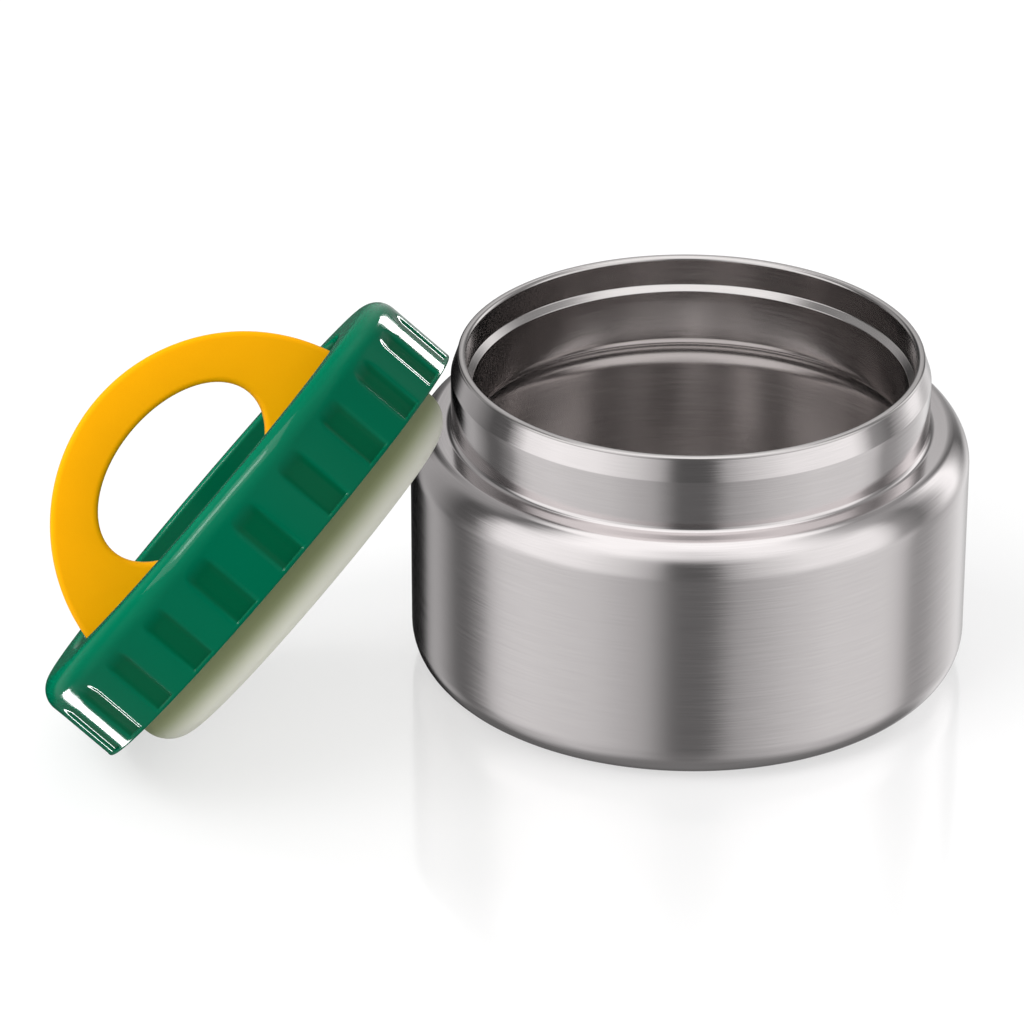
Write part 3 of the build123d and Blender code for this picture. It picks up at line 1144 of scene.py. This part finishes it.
@dataclass
class Studio:
    """A white table under soft lamps, in metres. The steel mirrors the room: greys by the heading,
    in degrees round from the front and positive to the right, on four levels of the room between
    straight down and straight up."""

    camera_place: tuple[float, float, float] = (-0.034995, -0.976521, 0.539359)
    camera_fall: float = math.radians(27.509)
    focal_length: float = 195.33
    sensor: float = 36.0
    nearest: float = 0.05  # things nearer to the camera than this aren't shown
    table_width: float = 6.0
    table_grey: float = 0.45
    table_glow: float = 0.54  # so that it comes out white where nothing shades it
    table_roughness: float = 0.1
    table_index: float = 2.0  # of refraction
    table_bounce: float = 0.86  # the grey that lights the pieces from below
    soft_light: float = 0.8  # from all round
    lamp_width: float = 0.9
    lamps: Sequence[tuple[str, tuple[float, float, float], float]] = (  # name, place and watts
        ("key", (-0.9, -0.8, 1.3), 11.0),
        ("back", (-1.3, 0.5, 1.1), 9.0),
    )
    reach: float = 0.6  # from the cap to its own lamps
    glow_tilt: float = math.radians(9)  # from over the cap's top towards the camera
    glow_width: float = 0.25
    glow_power: float = 2.4
    strips: Sequence[Strip] = (
        Strip("right_strip", turn=68, tilt=0, width=9.5, length=24, glow=40),
        Strip("left_strip", turn=-66, tilt=0, width=9.5, length=24, glow=40),
        Strip("edge_strip", turn=0, tilt=41, width=40, length=12, glow=45),
        Strip("edge_halo", turn=0, tilt=41, width=60, length=40, glow=9),
    )
    nadir: float = 0.2  # the grey straight down
    zenith: float = 1.32  # the grey straight up
    # Elevations in degrees, from and to which the room fades from one grey or level to the next.
    borders: Sequence[tuple[float, float]] = ((-82, -55), (-46, -36), (-22, -6), (24, 44), (54, 68))
    under: Sequence[tuple[float, float]] = (
        (-180, 0.12), (-120, 0.14), (-98, 0.45), (-60, 0.66), (-25, 0.45), (-8, 0.17),
        (6, 0.17), (25, 0.42), (60, 0.62), (92, 0.52), (115, 0.20), (180, 0.12),
    )
    low: Sequence[tuple[float, float]] = (
        (-180, 0.15), (-172, 0.04), (-164, 0.00), (-144, 0.00), (-137, 0.46), (-129, 0.48),
        (-113, 0.13), (-106, 0.13), (-97, 0.28), (-90, 0.64), (-83, 0.78), (-70, 0.80),
        (-40, 0.68), (-19, 0.46), (-9, 0.18), (-6, 0.13), (6, 0.13), (10, 0.18),
        (18, 0.40), (40, 0.64), (60, 0.79), (88, 0.80), (96, 0.68), (104, 0.34),
        (113, 0.37), (126, 0.58), (148, 0.92), (154, 0.85), (162, 0.54), (172, 0.58), (180, 0.62),
    )
    middle: Sequence[tuple[float, float]] = (
        (-180, 0.62), (-172, 0.26), (-162, 0.05), (-148, 0.05), (-136, 0.44), (-120, 0.35), (-105, 0.10),
        (-94, 0.12), (-88, 0.60), (-82, 1.10), (-66, 1.20), (-45, 1.10), (-25, 0.78),
        (-15, 0.52), (-9, 0.14), (-6, 0.10), (6, 0.10), (9, 0.14), (15, 0.48),
        (25, 0.72), (45, 1.05), (78, 1.15), (84, 0.85), (90, 0.35),
        (102, 0.18), (113, 0.60), (122, 1.20), (130, 1.35), (139, 0.48), (147, 0.12),
        (168, 0.45), (180, 0.62),
    )
    upper: Sequence[tuple[float, float]] = (
        (-180, 1.15), (-168, 0.60), (-158, 0.38), (-140, 0.40), (-126, 0.33), (-114, 0.38),
        (-102, 0.28), (-92, 0.15), (-84, 0.35), (-76, 0.75), (-66, 1.15), (-54, 1.32),
        (-30, 1.28), (-12, 1.05), (0, 0.95), (12, 1.00), (30, 1.20), (48, 1.22),
        (60, 1.05), (70, 0.85), (80, 0.62), (90, 0.48), (102, 0.38), (116, 0.33),
        (150, 0.33), (158, 0.50), (166, 0.95), (174, 1.25), (180, 1.15),
    )

    def room(self, tree: bpy.types.NodeTree) -> bpy.types.NodeSocket:
        """Adds the greys that are mirrored, by heading and elevation.

        Args:
            tree: the world's nodes.

        Returns:
            The grey.
        """
        direction = add_node(tree, "TexCoord").outputs["Generated"]
        across, away, up = add_node(tree, "SeparateXYZ", {0: direction}).outputs
        front = add_node(tree, "Math", {0: away, 1: -1.0}, operation="MULTIPLY")
        heading = add_node(tree, "Math", {0: across, 1: front}, operation="ARCTAN2")
        share = add_node(tree, "MapRange", {0: heading, 1: -math.pi, 2: math.pi, 3: 0.0, 4: 1.0})
        levels = []
        for greys in (self.under, self.low, self.middle, self.upper):
            ramp = add_node(tree, "ValToRGB", {0: share})
            set_ramp(ramp, [((angle + 180) / 360, level) for angle, level in greys])
            levels.append(ramp.outputs[0])
        below: Any = grey(self.nadir)
        for border, above in zip(self.borders, (*levels, grey(self.zenith))):
            start, end = (math.sin(math.radians(elevation)) for elevation in border)
            fade = {0: up, 1: start, 2: end}
            part = add_node(tree, "MapRange", fade, interpolation_type="SMOOTHSTEP")
            below = add_node(tree, "Mix", {0: part, 6: below, 7: above}, data_type="RGBA").outputs[2]
        return below

    def world(self) -> None:
        """Sets the light from all round."""
        world = bpy.data.worlds.new("studio")
        bpy.context.scene.world = world
        world.use_nodes = True
        tree = world.node_tree
        tree.nodes.clear()
        rays = add_node(tree, "LightPath")
        soft = add_node(tree, "Background", {0: grey(1), 1: self.soft_light})
        white = add_node(tree, "Background", {0: grey(1), 1: 1.0})
        mirrored = add_node(tree, "Background", {0: self.room(tree), 1: 1.0})
        glossy = add_node(tree, "MixShader", {0: rays.outputs["Is Glossy Ray"], 1: soft, 2: mirrored})
        seen = add_node(tree, "MixShader", {0: rays.outputs["Is Camera Ray"], 1: glossy, 2: white})
        add_node(tree, "OutputWorld", {0: seen})

    def table(self) -> None:
        """Lays the white table, whose polish shows the pieces that stand on it."""
        mesh = bmesh.new()
        bmesh.ops.create_grid(mesh, x_segments=8, y_segments=8, size=self.table_width / 2)
        table = add_mesh("table", mesh)
        table.visible_glossy = False
        table.visible_shadow = False
        material = bpy.data.materials.new("white_acrylic")
        material.use_nodes = True
        tree = material.node_tree
        shader = tree.nodes["Principled BSDF"]
        for name, value in (
            ("Base Color", grey(self.table_grey)),
            ("Roughness", self.table_roughness),
            ("IOR", self.table_index),
            ("Emission Color", grey(1)),
            ("Emission Strength", self.table_glow),
        ):
            shader.inputs[name].default_value = value
        bounce = add_node(tree, "BsdfDiffuse", {0: grey(self.table_bounce)})
        is_camera = add_node(tree, "LightPath").outputs["Is Camera Ray"]
        seen = add_node(tree, "MixShader", {0: is_camera, 1: bounce, 2: shader})
        tree.links.new(seen.outputs[0], tree.nodes["Material Output"].inputs[0])
        table.data.materials.append(material)

    def hang_lamp(
        self, name: str, place: Matrix, size: Sequence[float], power: float, cap_only: bool
    ) -> bpy.types.Object:
        """Hangs a lamp, which shines along its own -Z.

        Args:
            name: its name.
            place: its turn and place.
            size: its width and height in metres.
            power: its power in watts.
            cap_only: whether it lights the cap alone.

        Returns:
            The lamp.
        """
        data = bpy.data.lights.new(name, "AREA")
        data.shape = "RECTANGLE"
        data.size, data.size_y = size
        data.energy = power
        lamp = add_object(name, data)
        lamp.matrix_world = place
        if cap_only:
            lit = bpy.data.collections.new(name)
            lit.objects.link(bpy.data.objects["fluted_cap"])
            lamp.light_linking.receiver_collection = lit
        return lamp

    def soft_lamp(
        self, name: str, place: Vector, faces: Vector, width: float, power: float, cap_only: bool
    ) -> None:
        """Hangs a square lamp that nothing mirrors.

        Args:
            name: its name.
            place: where it hangs.
            faces: the point that it faces.
            width: its width in metres.
            power: its power in watts.
            cap_only: whether it lights the cap alone.
        """
        turned = (place - faces).to_track_quat("Z", "Y").to_matrix().to_4x4()
        where = Matrix.Translation(place) @ turned
        lamp = self.hang_lamp(name, where, (width, width), power, cap_only)
        lamp.visible_glossy = False

    def toward_camera(self, seat: Matrix) -> Vector:
        """Gives the camera's place in the lid's own frame, from the lid's seat."""
        return seat.to_3x3().transposed() @ (Vector(self.camera_place) - seat.translation)

    def edge_glow(self, lid: Lid) -> None:
        """Hangs a soft lamp for the cap alone over its top, which lights its rounded edge."""
        seat = lid.seat()
        toward = self.toward_camera(seat)
        toward.z = 0
        direction = Vector((0, 0, 1)) + toward.normalized() * math.tan(self.glow_tilt)
        place = seat @ (direction.normalized() * self.reach)
        width, power = self.glow_width, self.glow_power
        self.soft_lamp("edge_glow", place, seat.translation, width, power, cap_only=True)

    def strip_lamp(self, lid: Lid, strip: Strip) -> None:
        """Stands a strip lamp where the cap mirrors it to the camera.

        Args:
            lid: the lid.
            strip: the lamp.
        """
        seat = lid.seat()
        toward = self.toward_camera(seat)
        heading = math.atan2(toward.y, toward.x) + math.radians(strip.turn)
        lean = math.radians(strip.tilt)
        round_part = Vector((math.cos(heading), math.sin(heading), 0))
        normal = round_part * math.cos(lean) + Vector((0, 0, math.sin(lean)))
        inset = lid.cap_rounding if strip.tilt else 0
        spot = round_part * (lid.cap_radius - inset) + Vector((0, 0, lid.cap_height - lid.cap_rounding))
        spot = (spot + normal * inset) * MM
        view = (toward - spot).normalized()
        mirrored = 2 * normal.dot(view) * normal - view
        side = Vector((0, 0, 1)).cross(mirrored).normalized()
        turned = seat.to_3x3() @ Matrix((side, mirrored.cross(side), mirrored)).transposed()
        place = Matrix.Translation(seat @ (spot + mirrored * self.reach)) @ turned.to_4x4()
        angles = (strip.width, strip.length)
        width, length = (2 * self.reach * math.tan(math.radians(angle) / 2) for angle in angles)
        power = strip.glow * math.pi * width * length
        lamp = self.hang_lamp(strip.name, place, (width, length), power, cap_only=True)
        lamp.visible_diffuse = False

    def camera(self) -> None:
        """Sets the camera."""
        data = bpy.data.cameras.new("camera")
        data.lens = self.focal_length
        data.sensor_width = self.sensor
        data.sensor_fit = "HORIZONTAL"
        data.clip_start = self.nearest
        camera = add_object("camera", data)
        camera.location = self.camera_place
        camera.rotation_euler.x = math.pi / 2 - self.camera_fall
        bpy.context.scene.camera = camera

    def build(self, lid: Lid) -> None:
        """Builds the studio round the lid."""
        bpy.context.scene.view_settings.view_transform = "Standard"
        self.world()
        self.table()
        for name, place, power in self.lamps:
            self.soft_lamp(name, Vector(place), Vector(), self.lamp_width, power, cap_only=False)
        self.edge_glow(lid)
        for strip in self.strips:
            self.strip_lamp(lid, strip)
        self.camera()


def main() -> None:
    """Builds the jar, the lid and the studio, and notes the sizes."""
    logging.basicConfig(level=logging.INFO, format="%(name)s: %(message)s")
    Jar().build()
    lid = Lid()
    lid.build()
    Studio().build(lid)


if __name__ == "__main__":
    main()
